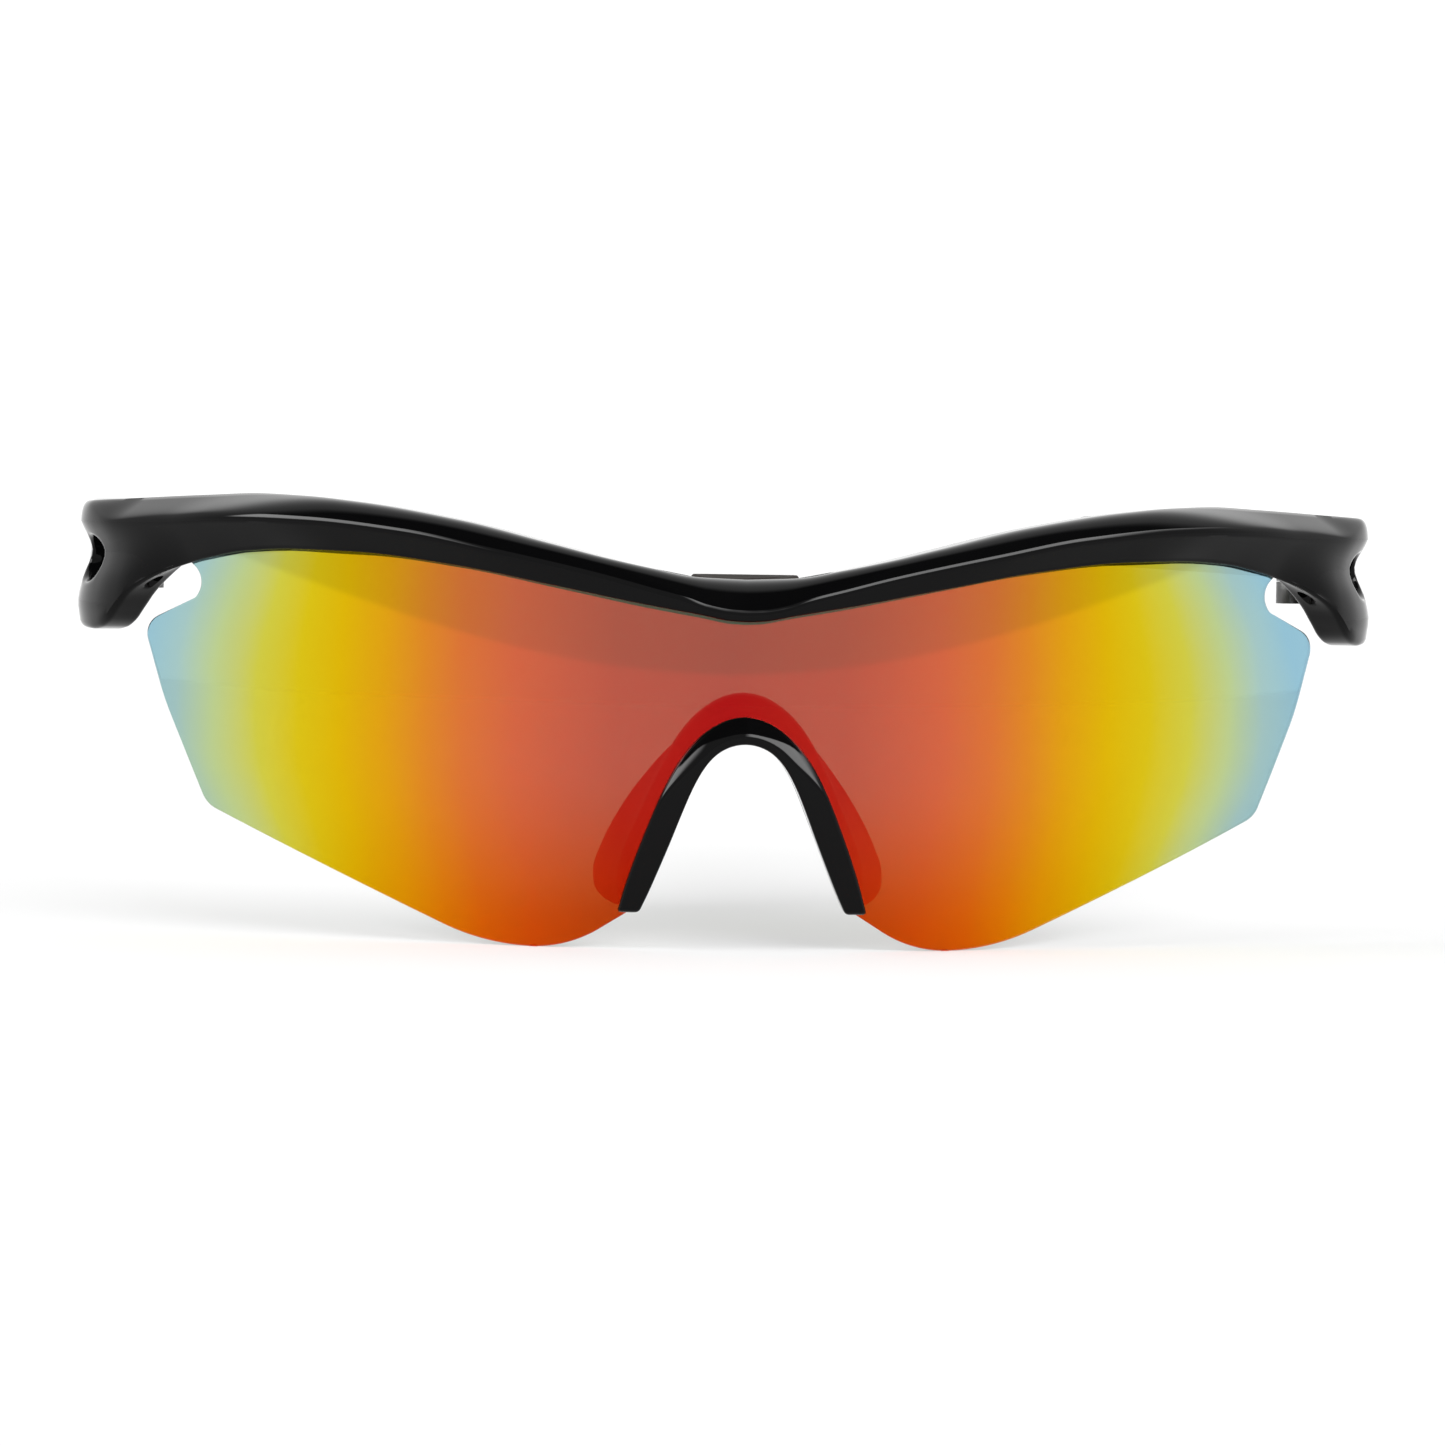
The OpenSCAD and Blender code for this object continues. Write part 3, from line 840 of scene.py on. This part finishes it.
def punch_pocket(skin):
    """The small blind pocket in the underside of the endpiece."""
    under = ROW_AT["under"]
    i0, i1 = near(skin.s, 73.9), near(skin.s, 78.5)
    j0, j1 = under + 1, under + 9
    mid, half, lip = ((skin.s[i0] + skin.s[i1]) / 2, (j0 + j1) / 2), (1.05, 3.3), 0.1
    loop = skin.cut_block(i0, i1, j0, j1)
    edge = [(skin.s[i], j) for i, j in loop]
    angles = angles_round(edge, mid, half)
    ring = patch(skin, loop, edge, [oval(mid, half, lip, a) for a in angles], skin.at)
    for grow, rise in ((0.0, 0.08), (-0.05, 0.6), (-0.1, 1.6), (-0.5, 1.9)):
        mouth = [skin.at(*oval(mid, half, grow, a)) for a in angles]
        ids = skin.add([(x, y, z + rise) for x, y, z in mouth])
        skin.bridge(ring, ids)
        ring = ids
    skin.faces.append(list(reversed(ring)))


def brow_frame():
    """The bar and both endpieces as one closed skin."""
    stations = np.concatenate([np.linspace(0, 60, 81)[:-1], np.linspace(60, WALL_END, 76)])
    skin = Skin(brow_section, stations)
    punch_window(skin)
    punch_pocket(skin)
    skin.grid_faces()
    end = brow_section(WALL_END)
    inward = end.mean(0) - end
    inward /= np.linalg.norm(inward, axis=1)[:, None]
    ring = [skin.index(len(stations) - 1, j) for j in range(skin.n)]
    for inset in (0.1, 0.35):
        ids = skin.add([(HALF_W - d, HINGE_Y + 0.02 * inset, z) for d, z in end + inward * inset])
        skin.bridge(ring, ids)
        ring = ids
    skin.faces.append(ring)
    points = np.array(skin.points)
    n, count = skin.n, len(points)
    other_side = points[n:] * np.array([-1, 1, 1])
    faces = list(skin.faces)
    for face in skin.faces:
        faces.append([i if i < n else i - n + count for i in reversed(face)])
    solid("brow_bar_and_endpieces", np.concatenate([points, other_side]), faces, "gloss_black", "front",
          "brow_frame", 38)


# ---------- lofted pieces ----------

def loft(rings):
    """Points and faces of a closed skin through rings of equal length, capped at both ends."""
    n = len(rings[0])
    faces = []
    for i in range(len(rings) - 1):
        for j in range(n):
            k = (j + 1) % n
            faces.append([i * n + j, i * n + k, (i + 1) * n + k, (i + 1) * n + j])
    faces.append(list(range(n))[::-1])
    faces.append([(len(rings) - 1) * n + j for j in range(n)])
    return np.concatenate(rings), faces


def mirrored(points, faces, side):
    """The same piece on the given side."""
    flip = np.array([SIDES[side], 1, 1])
    return points * flip, faces if side == "left" else [list(reversed(f)) for f in faces]


def smoothed(points, times):
    """The same line with its small kinks averaged out, and its ends kept."""
    p = np.array(points, dtype=float)
    for _ in range(times):
        p[1:-1] = p[1:-1] * 0.5 + (p[:-2] + p[2:]) * 0.25
    return p


def arch_paths(knots, count):
    """Inner and outer (x, z) lines of a whole arch, foot to foot, from the knots of its half."""
    knots = knots + [(2 - k[0], -k[1], k[2], -k[3], k[4]) for k in reversed(knots[:-1])]
    t = np.linspace(0, 2, count)
    columns = [curve_at(t, [(k[0], k[c]) for k in knots]) for c in (1, 2, 3, 4)]
    return smoothed(np.stack(columns[:2], 1), 6), smoothed(np.stack(columns[2:], 1), 6)


def foot_caps(ring, inside, foot_round):
    """Rings that round off the foot of an arch beyond its last ring."""
    mid = ring.mean(0)
    out = mid - inside.mean(0)
    out /= np.linalg.norm(out)
    caps = []
    for angle in (30, 60, 85):
        a = math.radians(angle)
        shrink = 1 - foot_round * (1 - math.cos(a)) / 1.3
        caps.append(mid + (ring - mid) * shrink + out * foot_round * math.sin(a))
    return caps


def arch_rings(knots, count, section, foot_round):
    """Rings of an arch that follows the lens. section(width, height) gives (across, depth) points."""
    rings = []
    for a, b in zip(*arch_paths(knots, count)):
        width = float(np.linalg.norm(b - a))
        shape = section(width, (a[1] + b[1]) / 2)
        flat = a + (b - a) / width * shape[:, :1]
        rings.append(on_lens(flat, shape[:, 1]))
    start = foot_caps(rings[0], rings[1], foot_round)
    return start[::-1] + rings + foot_caps(rings[-1], rings[-2], foot_round)


# Half an arch, foot to crown: (share of the way, inner x and z, outer x and z)
RIM_KNOTS = [
    (0.00, 10.7, 4.45, 13.05, 4.45), (0.12, 9.95, 6.1, 12.5, 6.5), (0.30, 8.75, 9.0, 11.5, 9.6),
    (0.48, 7.55, 12.0, 10.35, 12.7), (0.62, 6.4, 15.0, 9.2, 15.6), (0.74, 5.3, 17.6, 8.05, 18.1),
    (0.84, 4.0, 19.85, 6.55, 20.7), (0.92, 2.5, 21.3, 4.3, 23.2), (0.96, 1.3, 21.85, 2.3, 24.5),
    (1.00, 0.0, 22.05, 0.0, 25.1),
]


def rim_section(width, height):
    """Section of the nose rim: a flat-faced leg below, a broad rounded brow on the arch."""
    arch = share_of(height, 15.2, 21.6)
    front, back, lip = -1.9, 3.0, 0.4
    wide = 0.45 + arch * (width - 1.25)
    deep = 0.45 + arch * 0.3
    slope = 0.29 * arch
    clip_end = width - 0.15
    out = [(0.0, z) for z in (back - lip, 1.6, 0.2, front + lip)]
    out += arc((lip, front + lip), lip, -90, -90, steps(5))
    out += [(lip + (width - wide - lip) * share, front) for share in (0.25, 0.5, 0.75)]
    for a in np.linspace(0, math.pi / 2, 9):
        u = wide * math.sin(a)
        out.append((width - wide + u, front + slope * u + deep - deep * math.cos(a)))
    out += [(width, -0.05), (1.05, -0.05), (1.05, LENS_T + 0.05), (clip_end, LENS_T + 0.05)]
    out += arc((clip_end - lip, back - lip), lip, 90, -90, (0, 0.25, 0.5, 0.75, 1))
    out += arc((lip, back - lip), lip, 0, -90, (0, 0.25, 0.5, 0.75))
    return np.array(out)


def nose_rim():
    """The glossy clip over the edge of the nose cut-out."""
    points, faces = loft(arch_rings(RIM_KNOTS, 131, rim_section, 0.45))
    solid("nose_rim_clip", points, faces, "gloss_black", "front", "nose_rim", 40)


SADDLE_KNOTS = [
    (0.00, 10.6, 5.2, 13.2, 5.2), (0.12, 9.95, 6.4, 13.4, 7.2), (0.30, 8.75, 9.2, 12.7, 10.4),
    (0.48, 7.55, 12.1, 11.35, 13.6), (0.62, 6.4, 15.0, 10.05, 16.6), (0.74, 5.3, 17.6, 8.75, 19.3),
    (0.84, 4.0, 19.85, 7.15, 22.3), (0.92, 2.5, 21.3, 5.0, 25.1), (0.96, 1.3, 21.85, 2.7, 26.9),
    (1.00, 0.0, 22.05, 0.0, 27.6),
]
# Outer edges by height: (z, x)
WING_EDGE = [(4.2, 13.4), (5.0, 14.7), (6.5, 15.4), (8.0, 15.35), (10.6, 14.5), (13.6, 13.1), (16.2, 11.6),
             (19.0, 9.75), (21.8, 7.8), (24.4, 5.9)]
SADDLE_EDGE = [(4.2, 13.1), (7.2, 13.4), (10.4, 12.7), (13.6, 11.35), (16.6, 10.05), (19.3, 8.75),
               (22.3, 7.15), (25.1, 5.0)]
PAD_LOW, PAD_WIDEST, PAD_HIGH = 4.3, 9.2, 22.4
PAD_BACK = 12.6
PAD_RIB_PITCH = 1.9


def saddle_section(width, _height):
    """Section of the saddle: a plate that follows the lens, with its outer edge curled back."""
    front, back, lip = LENS_T + 1.25, LENS_T + 2.6, 0.5
    out = []
    for mid, first in (((width - lip, back - lip), -90), ((lip, back - lip), 90)):
        for k in range(7):
            a = math.radians(first + 180 * k / 6)
            out.append((mid[0] + lip * math.cos(a), (front + back) / 2 + (back - front) / 2 * math.sin(a)))
        if first == -90:
            out += [(width * t, back) for t in (0.7, 0.5, 0.3)]
    out += [(width * t, front) for t in (0.3, 0.5, 0.7)]
    curled = []
    for u, d in out:
        t = max(0.0, (u - width + 2.0) / 2.0)
        curled.append((u, d + 0.8 * t * t))
    return np.array(curled)


def nose_saddle():
    """The carrier of the pads, behind the lens."""
    points, faces = loft(arch_rings(SADDLE_KNOTS, 121, saddle_section, 0.4))
    solid("nose_saddle_arch", points, faces, "satin_black", "front", "nose_saddle", 50)


def nose_pad(side):
    """A soft wing on the saddle's leg: it spreads outwards and backwards, and thins to its edge."""
    rings = []
    for z in PAD_LOW + (PAD_HIGH - PAD_LOW) * np.linspace(0.004, 0.996, 67):
        above = z > PAD_WIDEST
        reach = (z - PAD_WIDEST) / ((PAD_HIGH if above else PAD_LOW) - PAD_WIDEST)
        chord = (1 - abs(reach) ** 2.2) ** (1 / (1.5 if above else 2.2))
        root_x = float(curve_at(z, SADDLE_EDGE)) - 1.3
        root = np.array([root_x, lens_y(root_x, z, LENS_T + 2.1)])
        edge = np.array([float(curve_at(z, WING_EDGE)), PAD_BACK])
        tip = root + (edge - root) * (0.08 + 0.92 * chord)
        tip[0] = edge[0] - (1 - chord) * 0.9
        along = tip - root
        length = float(np.linalg.norm(along))
        inward = np.array([-along[1], along[0]]) / length
        thick = 0.95 * min(1.0, (1 - abs(reach) ** 6) ** 0.5 + 0.05)
        rib = 0.09 * math.cos(2 * math.pi * (z - PAD_LOW) / PAD_RIB_PITCH) * share_of(length, 4.0, 6.0)
        ring = []
        for k in range(36):
            a = 2 * math.pi * k / 36
            u = 0.5 - 0.5 * signed_power(math.cos(a), 0.75)
            q = math.sin(a)
            h = signed_power(q, 0.8) * thick * (1.05 - 0.45 * u) + rib * max(0.0, q)
            bow = 0.55 * math.sin(math.pi * u) * chord
            place = root + along * u + inward * (h + bow)
            ring.append((place[0], place[1], z))
        rings.append(np.array(ring))
    points, faces = mirrored(*loft(rings), side)
    solid(f"nose_wing_{side}", points, faces, "soft_rubber", "front", f"nose_pad_{side}", 60)


def brow_pad():
    """The tab behind the middle of the bar: upturned ends, a soft edge and five low ribs."""
    half, across, up = 5.75, 122, 41
    front, back = LENS_R - 4.45, LENS_R - 6.2
    rings = []
    for v in np.linspace(-1, 1, up):
        edge = (1 - abs(v) ** 6) ** 0.5
        ring = []
        for k in range(across):
            a = 2 * math.pi * k / across
            q = math.sin(a)
            x = half * (0.9 + 0.1 * edge) * signed_power(math.cos(a), 0.35)
            low, high = 35.55 + 0.9 * (x / half) ** 2, 39.15 + 0.65 * (x / half) ** 2
            z = (low + high) / 2 + (high - low) / 2 * v
            swell = 0.5 + 0.5 * signed_power(q, 0.4) * (0.35 + 0.65 * edge)
            rib = 0.12 * math.cos(2 * math.pi * v * 2.5) if q > 0 else 0.0
            r = front + (back - front) * swell - rib * edge * abs(q) ** 0.3
            ring.append((x, LENS_R - math.sqrt(r * r - x * x), z))
        rings.append(np.array(ring))
    points, faces = loft(rings)
    solid("brow_pad_tab", points, faces, "brow_rubber", "front", "brow_pad", 50)


# ---------- temples and hinges ----------

# Upper and lower edges of the arm and tip: (y, z)
ARM_TOP = [(56.15, 46.0), (66, 46.15), (76, 46.05), (90, 45.8), (104, 45.4)]
ARM_BOTTOM = [(56.15, 33.3), (60, 33.35), (65, 33.95), (70, 35.35), (76, 37.25), (82, 38.2), (90, 38.45),
              (104, 38.6)]
TIP_TOP = [(104, 45.7), (134, 45.6), (148, 45.15), (158, 44.5)]
TIP_BOTTOM = [(104, 38.3), (134, 38.35), (148, 38.5), (158, 38.8)]
TIP_PROUD = 0.5
TIP_ROUND = 3.4
MOUTH_Y, MOUTH_LIP = 104.1, 0.45
COLLAR_Y = 107.4
GRIP_START, GRIP_PITCH, GRIP_COUNT = 116, 2.6, 12


def temple_faces(y):
    """Outer and inner x of the temple at y."""
    run = max(0.0, y - CURVE_START)
    inner_r = CURVE_R * 1.06
    return (HALF_W - CURVE_R + math.sqrt(CURVE_R ** 2 - run ** 2),
            HALF_W - WALL_T - inner_r + math.sqrt(inner_r ** 2 - run ** 2))


def temple_arm(side):
    """The arm carries on the endpiece's section and draws it down to a slender bar."""
    butt, plain = brow_section(WALL_END), brow_section(WALL_END, 0.0)
    low, high = butt[:, 1].min(), butt[:, 1].max()
    ys = np.concatenate([[HINGE_Y + 0.15], np.linspace(HINGE_Y + 0.4, TIP_START - 0.3, 90), [TIP_START]])
    rings = []
    for i, y in enumerate(ys):
        outer, inner = temple_faces(y)
        top, bottom = float(curve_at(y, ARM_TOP)), float(curve_at(y, ARM_BOTTOM))
        section = butt + (plain - butt) * share_of(y, HINGE_Y, 84)
        share = np.stack([section[:, 0] / WALL_T, (section[:, 1] - low) / (high - low)], 1)
        if i in (0, len(ys) - 1):
            share = 0.5 + (share - 0.5) * (1 - 0.25 / np.array([2.2, (top - bottom) / 2]))
        slender = share_of(y, 60, 80)
        crown = 0.35 * slender * np.sin(np.pi * share[:, 1]) * (share[:, 0] < 0.5)
        x = outer - (outer - inner) * share[:, 0] - 0.25 * slender + crown
        rings.append(np.stack([x, np.full(len(x), y), bottom + (top - bottom) * share[:, 1]], 1))
    points, faces = mirrored(*loft(rings), side)
    solid(f"temple_bar_{side}", points, faces, "gloss_black", f"temple_{side}", f"temple_arm_{side}", 40)


def grip_groove(y):
    """Depth of the grip grooves at y."""
    if not GRIP_START < y < GRIP_START + GRIP_PITCH * GRIP_COUNT:
        return 0.0
    phase = ((y - GRIP_START) / GRIP_PITCH) % 1.0
    return 0.34 * max(0.0, 1 - abs(phase - 0.5) / 0.2) ** 0.7


def temple_tip(side):
    """The rubber sleeve: a rolled collar, rows of grip grooves and a rounded end."""
    mouth = MOUTH_Y + np.array([0, 0.06, 0.2, 0.45])
    end = TIP_END - TIP_ROUND * (1 - np.sin(np.radians(np.linspace(6, 89, 14))))
    rings = []
    for y in np.concatenate([mouth, np.linspace(104.9, 154.4, 240), end]):
        outer, inner = temple_faces(y)
        top, bottom = float(curve_at(y, TIP_TOP)), float(curve_at(y, TIP_BOTTOM))
        mid = ((outer + inner) / 2, (top + bottom) / 2)
        half = ((outer - inner) / 2 + TIP_PROUD, (top - bottom) / 2)
        past = max(0.0, (y - (TIP_END - TIP_ROUND)) / TIP_ROUND)
        tall = math.sqrt(max(0.0, 1 - past * past))
        wide = 0.25 * past + (1 - 0.25 * past) * tall
        lip = MOUTH_LIP * (1 - min(1.0, math.sqrt(max(0.0, (y - MOUTH_Y) / MOUTH_LIP))))
        trim = lip + 0.22 * math.exp(-((y - COLLAR_Y) / 0.45) ** 2)
        groove = grip_groove(y)
        ring = []
        for k in range(48):
            a = 2 * math.pi * k / 48
            u, v = signed_power(math.cos(a), 0.55), signed_power(math.sin(a), 0.62)
            cut = groove * (1 - share_of(abs(v), 0.5, 0.82))
            x = mid[0] + u * (half[0] * wide - trim - cut)
            ring.append((x, y, mid[1] + v * (half[1] * tall - trim)))
        rings.append(np.array(ring))
    points, faces = mirrored(*loft(rings), side)
    solid(f"temple_sleeve_{side}", points, faces, "soft_rubber", f"temple_{side}", f"temple_tip_{side}", 50)


def softened(node, body, slot, width):
    """A copy of a small metal part with its edges broken, which stands for it."""
    bm = bmesh.new()
    bm.from_mesh(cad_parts[node].data)
    bmesh.ops.remove_doubles(bm, verts=bm.verts, dist=1e-6)
    bmesh.ops.dissolve_limit(bm, angle_limit=math.radians(1), verts=bm.verts, edges=bm.edges)
    hard = [e for e in bm.edges if len(e.link_faces) == 2 and e.calc_face_angle(0) > math.radians(35)]
    bmesh.ops.bevel(bm, geom=hard, offset=width * MM, segments=2, affect="EDGES", profile=0.6,
                    clamp_overlap=True)
    bmesh.ops.triangulate(bm, faces=bm.faces)
    mesh = bpy.data.meshes.new(f"{node}_worked")
    bm.to_mesh(mesh)
    bm.free()
    mesh.materials.append(FINISH[slot])
    mesh.shade_smooth()
    mesh.set_sharp_from_angle(angle=math.radians(30))
    add_piece(mesh, f"{node}_worked", body, node)


def hinges(side):
    """Leaves, screw and rivets of one hinge, with the width of each one's broken edges."""
    for node, body, slot, width in (
            ("hinge_front_leaf", "front", "hinge_steel", 0.1),
            ("hinge_temple_leaf", f"temple_{side}", "hinge_steel", 0.1),
            ("hinge_screw", "front", "fastener_steel", 0.06),
            ("hinge_front_rivets", "front", "fastener_steel", 0.08),
            ("hinge_temple_rivets", f"temple_{side}", "fastener_steel", 0.08)):
        softened(f"{node}_{side}", body, slot, width)


# ---------- floor, light and camera ----------

def surround():
    """The light: white walls, a softbox on each side above the camera, a dark ceiling, a bright back."""
    world = bpy.data.worlds.new("studio")
    bpy.context.scene.world = world
    world.use_nodes = True
    nt = world.node_tree
    x, y, z = xyz(nt, nt.nodes.new("ShaderNodeTexCoord"), "Generated")
    sagging = maths(nt, "MULTIPLY_ADD", maths(nt, "MULTIPLY", x, x), -0.13, z)
    wall = ease(nt, sagging, 0.045, 0.057, 1.05, 0.85)
    right_box = maths(nt, "MULTIPLY", ease(nt, x, 0.03, 0.12, 0.0, 1.0), ease(nt, x, 0.76, 0.9, 1.0, 0.0))
    left_box = maths(nt, "MULTIPLY", ease(nt, x, -0.74, -0.56, 1.0, 0.0), ease(nt, y, -0.02, 0.04, 1.0, 0.0))
    boxes = maths(nt, "ADD", right_box, left_box)
    glow = maths(nt, "MULTIPLY", ease(nt, z, 0.31, 0.38, 0.0, 18.0), boxes)
    ceiling = ease(nt, z, 0.555, 0.575, 1.0, 0.003)
    ahead = maths(nt, "MULTIPLY", maths(nt, "ADD", wall, glow), ceiling)
    back_share = ease(nt, y, -0.08, 0.22, 0.0, 1.0)
    back = maths(nt, "MULTIPLY", back_share, ease(nt, z, 0.2, 0.5, 1.15, 1.45))
    front = maths(nt, "MULTIPLY", maths(nt, "SUBTRACT", 1.0, back_share), ahead)
    background = nt.nodes["Background"]
    background.inputs["Color"].default_value = (1, 1, 1, 1)
    nt.links.new(maths(nt, "ADD", back, front), background.inputs["Strength"])


def floor():
    """A plain pale floor that stays near white in the shade."""
    half = 3.0
    mesh = bpy.data.meshes.new("floor")
    corners = [(-half, -half, 0), (half, -half, 0), (half, half, 0), (-half, half, 0)]
    mesh.from_pydata(corners, [], [(0, 1, 2, 3)])
    obj = bpy.data.objects.new("floor", mesh)
    bpy.context.scene.collection.objects.link(obj)
    m, nt, bsdf = node_material("pale_floor")
    bsdf.inputs["Base Color"].default_value = (0.33, 0.33, 0.33, 1)
    bsdf.inputs["Specular IOR Level"].default_value = 0.0
    bsdf.inputs["Emission Color"].default_value = (1, 1, 1, 1)
    bsdf.inputs["Emission Strength"].default_value = 0.43
    uneven(nt, noise(nt, 40.0), bsdf, 0.8, 0.95)
    mesh.materials.append(m)


CAMERA_ANGLES = (-2.73, 2.5, 0.87)
CAMERA_TARGET = (-1.46, 20.0, 23.34)
CAMERA_AWAY = 0.7


def photo_camera():
    """The camera: a long lens, a little left of centre, a little above and slightly rolled."""
    azimuth, elevation, roll = (math.radians(a) for a in CAMERA_ANGLES)
    back = Vector((math.sin(azimuth) * math.cos(elevation), -math.cos(azimuth) * math.cos(elevation),
                   math.sin(elevation)))
    right = Vector((math.cos(azimuth), math.sin(azimuth), 0))
    up = back.cross(right)
    side = math.cos(roll) * right + math.sin(roll) * up
    tall = -math.sin(roll) * right + math.cos(roll) * up
    target = Vector(rows([CAMERA_TARGET])[0])
    data = bpy.data.cameras.new("photo_camera")
    data.lens = 161.4
    data.sensor_width = 36.0
    data.clip_start = 0.01
    camera = bpy.data.objects.new("photo_camera", data)
    m = Matrix((side, tall, back)).transposed().to_4x4()
    m.translation = target + back * CAMERA_AWAY
    camera.matrix_world = m
    bpy.context.scene.collection.objects.link(camera)
    bpy.context.scene.camera = camera


bpy.context.scene.view_settings.view_transform = "Standard"
photo_camera()
shield_lens()
brow_frame()
nose_rim()
nose_saddle()
brow_pad()
for side in SIDES:
    nose_pad(side)
    temple_arm(side)
    temple_tip(side)
    hinges(side)
surround()
floor()
